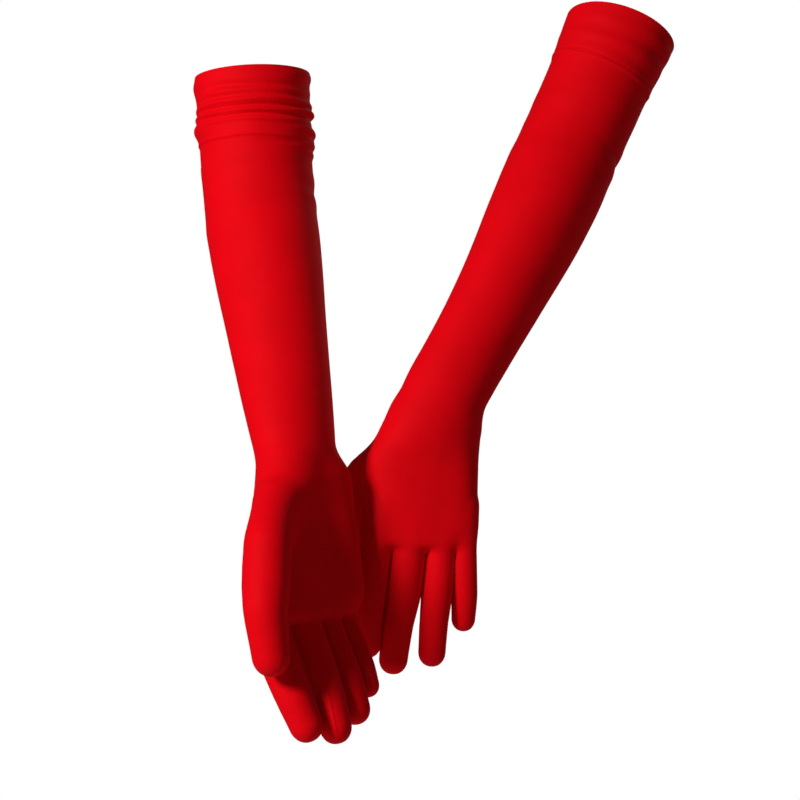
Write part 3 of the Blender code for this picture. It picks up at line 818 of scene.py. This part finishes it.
def relax(points, quads):
    """Even out a mesh by moving every point towards the mean of its neighbours."""
    first = quads.ravel()
    second = np.roll(quads, -1, axis=1).ravel()
    count = np.bincount(first, minlength=len(points)) + np.bincount(second, minlength=len(points))
    for _ in range(SMOOTHING):
        total = np.zeros_like(points)
        for axis in range(3):
            total[:, axis] = np.bincount(first, points[second, axis], len(points))
            total[:, axis] += np.bincount(second, points[first, axis], len(points))
        points = 0.4 * points + 0.6 * total / np.maximum(count, 1)[:, None]
    return points


def cut_hand(glove, points, quads):
    """Trim the hand's surface at the forearm and at each finger's root."""
    mesh = bpy.data.meshes.new("hand")
    mesh.from_pydata(points.tolist(), [], quads.tolist())
    work = bmesh.new()
    work.from_mesh(mesh)
    bpy.data.meshes.remove(mesh)
    start, ahead = [value[0] for value in glove.line_at(glove.length - HAND_REACH)[:2]]
    geometry = list(work.verts) + list(work.edges) + list(work.faces)
    bmesh.ops.bisect_plane(work, geom=geometry, plane_co=start, plane_no=-ahead, clear_outer=True)
    names = list(glove.chains)
    for name in names:
        chain = glove.chains[name]
        work.verts.ensure_lookup_table()
        places = np.array([v.co for v in work.verts])
        fields = np.stack([glove.chains[n].field(places) for n in names])
        mine = fields.argmin(0) == names.index(name)
        place = chain.root + root_cut(name)
        cut, ahead = chain.centre(place)[0], chain.ahead([place])[0]
        close = mine & ((places - cut) @ ahead > -4.0) & (fields.min(0) < 6.0)
        faces = [f for f in work.faces if any(close[v.index] for v in f.verts)]
        edges = {e for f in faces for e in f.edges}
        verts = {v for f in faces for v in f.verts}
        bmesh.ops.bisect_plane(
            work, geom=list(verts) + list(edges) + faces, plane_co=cut, plane_no=ahead, clear_outer=True)
    bmesh.ops.recalc_face_normals(work, faces=work.faces)
    work.verts.index_update()
    points = np.array([v.co for v in work.verts])
    faces = [tuple(v.index for v in f.verts) for f in work.faces]
    work.free()
    return points, faces


def hand_skin(glove, material):
    points, quads = hand_surface(glove)
    points, faces = cut_hand(glove, points, quads)
    normals = vertex_normals(points, faces)
    middle = points.mean(0)
    if (normals * (points - middle)).sum() < 0.0:
        faces = [tuple(reversed(face)) for face in faces]
    local = (points - glove.wrist) @ glove.basis.T
    weave = np.stack([local[:, 0], local[:, 1], np.zeros(len(local))], axis=1)
    return shell(glove.side + "_hand_skin", points, faces, weave, material)


# ---------------------------------------------------------------- pieces of each glove, the forearm skins and the left cuff on their bodies


def dress(glove, knit):
    side = glove.side
    elbow, length = glove.upper_length, glove.length
    top_end = CUFF_END[side]
    relief = cuff_relief(side)
    cuff = sleeve_skin(glove, side + "_cuff_skin", 0.0, top_end, relief, knit, FOLD_ROW_STEP,
                       rise=rim_rise if side == "left" else None)
    if side == "right":
        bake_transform(cuff)
        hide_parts("right_cuff_hem", "right_gather_1", "right_gather_2", "right_gather_3")
    else:
        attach(cuff, "left_cuff")
        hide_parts("left_cuff_hem")
    low = elbow + ELBOW_END
    start = top_end if side == "right" else top_end - SLEEVE_OVERLAP
    relief = elbow_relief(glove, relief if side == "right" else no_relief)
    upper = sleeve_skin(glove, side + "_elbow_skin", start, low, relief, knit)
    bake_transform(upper)
    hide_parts(side + "_upper_sleeve")
    fore = sleeve_skin(glove, side + "_forearm_skin", low, length - HAND_REACH, relief, knit)
    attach(fore, side + "_forearm")
    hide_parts(side + "_forearm_sleeve")
    hand = hand_skin(glove, knit)
    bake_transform(hand)
    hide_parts(side + "_hand_back", side + "_hand_palm", side + "_thumb_gusset",
                *[f"{side}_web_{a}_{b}" for a, b in zip(FINGERS[:-1], FINGERS[1:])])
    for finger in FINGERS:
        dress_finger(glove, finger, ("base", "mid", "tip"), knit)
    dress_finger(glove, "thumb", ("base", "tip"), knit)


def dress_finger(glove, name, parts, material):
    """Skins of a finger: one across each of its bends."""
    side, chain = glove.side, glove.chains[name]
    bodies = [side + "_hand"] + [f"{side}_{name}_{part}" for part in parts]
    bends = chain.places[1:1 + len(parts)] - chain.root
    end = chain.length - chain.root
    cuts = [root_cut(name)]
    for here, following in zip(bends[:-1], bends[1:]):
        share = ROOT_SHARE if here == bends[0] else MIDDLE_SHARE
        cuts.append(here + (following - here) * share)
    cuts.append(end)
    for step, (first, last) in enumerate(zip(cuts[:-1], cuts[1:])):
        closed = step == len(parts) - 1
        skin = finger_skin(glove, name, chain, first, last, material, f"{bodies[step + 1]}_skin", closed)
        bend = bends[step]
        if step == 0:
            begin, finish = first + 0.3, last - 0.5
        else:
            room = bend - first if closed else min(bend - first, last - bend)
            reach = min(room, BEND_REACH) - 0.3
            begin, finish = bend - reach, bend + reach
        start = chain.centre(chain.root + begin)[0]
        stop = chain.centre(chain.root + finish)[0]
        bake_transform(skin)
        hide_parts(f"{side}_{name}_{parts[step]}")


# ---------------------------------------------------------------- floor, light and camera

def floor_material():
    """A pale floor that looks evenly lit to the camera and throws no light of its own."""
    material = bpy.data.materials.new("pale_floor")
    nodes, links = nodes_of(material)
    surface = nodes["Principled BSDF"]
    surface.inputs["Base Color"].default_value = (0.86, 0.86, 0.85, 1.0)
    surface.inputs["Roughness"].default_value = 0.7
    surface.inputs["Emission Color"].default_value = (1.0, 1.0, 1.0, 1.0)
    paths = nodes.new("ShaderNodeLightPath")
    glow = math_node(nodes, links, "MULTIPLY", paths.outputs["Is Camera Ray"], FLOOR_GLOW)
    links.new(glow, surface.inputs["Emission Strength"])
    return material


def aim(thing, target):
    thing.rotation_mode = "QUATERNION"
    thing.rotation_quaternion = (Vector(target) - thing.location).to_track_quat("-Z", "Y")


def around(azimuth, elevation, distance):
    """Offset of a place seen at an azimuth from the front, positive to the right, and an elevation."""
    turn, rise = math.radians(azimuth), math.radians(elevation)
    flat = math.cos(rise) * distance
    return Vector((math.sin(turn) * flat, -math.cos(turn) * flat, math.sin(rise) * distance))


def area_light(name, place, size, power, target):
    data = bpy.data.lights.new(name, "AREA")
    data.size, data.energy = size, power
    light = bpy.data.objects.new(name, data)
    bpy.context.scene.collection.objects.link(light)
    light.location = place
    aim(light, target)


def stage_and_light():
    scene = bpy.context.scene
    scene.view_settings.view_transform = "Standard"
    mesh = bpy.data.meshes.new("floor")
    work = bmesh.new()
    bmesh.ops.create_circle(work, cap_ends=True, segments=96, radius=1.1)
    work.to_mesh(mesh)
    work.free()
    mesh.materials.append(floor_material())
    floor = bpy.data.objects.new("floor", mesh)
    floor.location = (0.0, 0.0, FLOOR_HEIGHT)
    scene.collection.objects.link(floor)
    centre = (Vector(CAD_BOX[0]) + Vector(CAD_BOX[1])) / 2
    for name, (azimuth, elevation, distance, size, power) in LIGHTS.items():
        area_light(name, centre + around(azimuth, elevation, distance), size, power, centre)
    world = bpy.data.worlds.new("studio")
    scene.world = world
    world.use_nodes = True
    nodes, links = world.node_tree.nodes, world.node_tree.links
    background = nodes["Background"]
    paths = nodes.new("ShaderNodeLightPath")
    mix = nodes.new("ShaderNodeMix")
    mix.data_type = "FLOAT"
    mix.inputs[2].default_value = WORLD_LIGHT
    mix.inputs[3].default_value = 1.0
    links.new(paths.outputs["Is Camera Ray"], mix.inputs[0])
    links.new(mix.outputs[0], background.inputs["Strength"])
    background.inputs["Color"].default_value = (1.0, 1.0, 1.0, 1.0)
    data = bpy.data.cameras.new("camera")
    data.lens, data.sensor_width = LENS, FILM_WIDTH
    camera = bpy.data.objects.new("camera", data)
    camera.location = centre + Vector(CAMERA_FROM_MIDDLE)
    camera.rotation_euler = (math.pi / 2, 0.0, 0.0)
    scene.collection.objects.link(camera)
    scene.camera = camera


def main():
    knit = knit_material("stretch_knit_red", KNIT_BRIGHT, KNIT_DEEP)
    for side in ("right", "left"):
        dress(Glove(side), knit)
    stage_and_light()


main()
